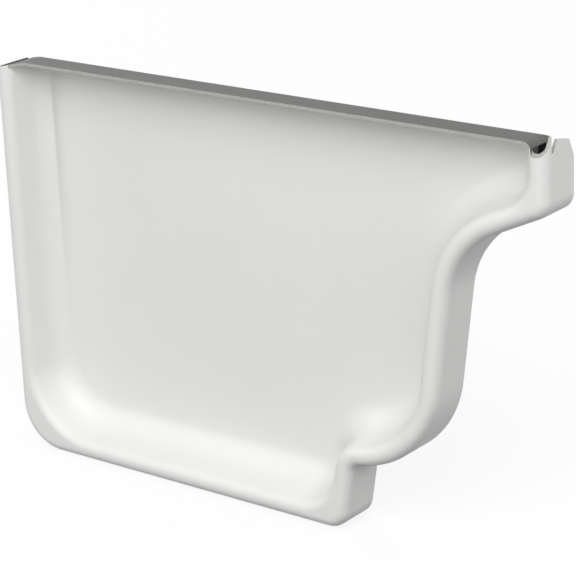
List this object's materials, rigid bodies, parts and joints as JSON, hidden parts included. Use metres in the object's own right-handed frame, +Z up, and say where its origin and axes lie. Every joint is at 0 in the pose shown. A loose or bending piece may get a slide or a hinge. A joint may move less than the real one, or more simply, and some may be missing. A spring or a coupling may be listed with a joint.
{
  "type": "gutter end cap",
  "caption": "Pressed white sheet-metal end cap for a K-style rain gutter, with a dished panel, folded top flange and a rim channel that slips over the gutter's end.",
  "frame": {"origin": "middle of the cap's box in plan, at the level of its bottom face", "axes": "+X from the back of the gutter to its front lip, +Y from the cap's rim into the gutter, +Z up"},
  "size_m": [0.127, 0.0094, 0.083],
  "materials": {
    "white_coil_paint": "smooth gloss white coil paint outside, thin grey wash coat on the gutter side, bare cut edges"
  },
  "bodies": {
    "root": {"end_cap": "white_coil_paint"}
  },
  "joints": []
}
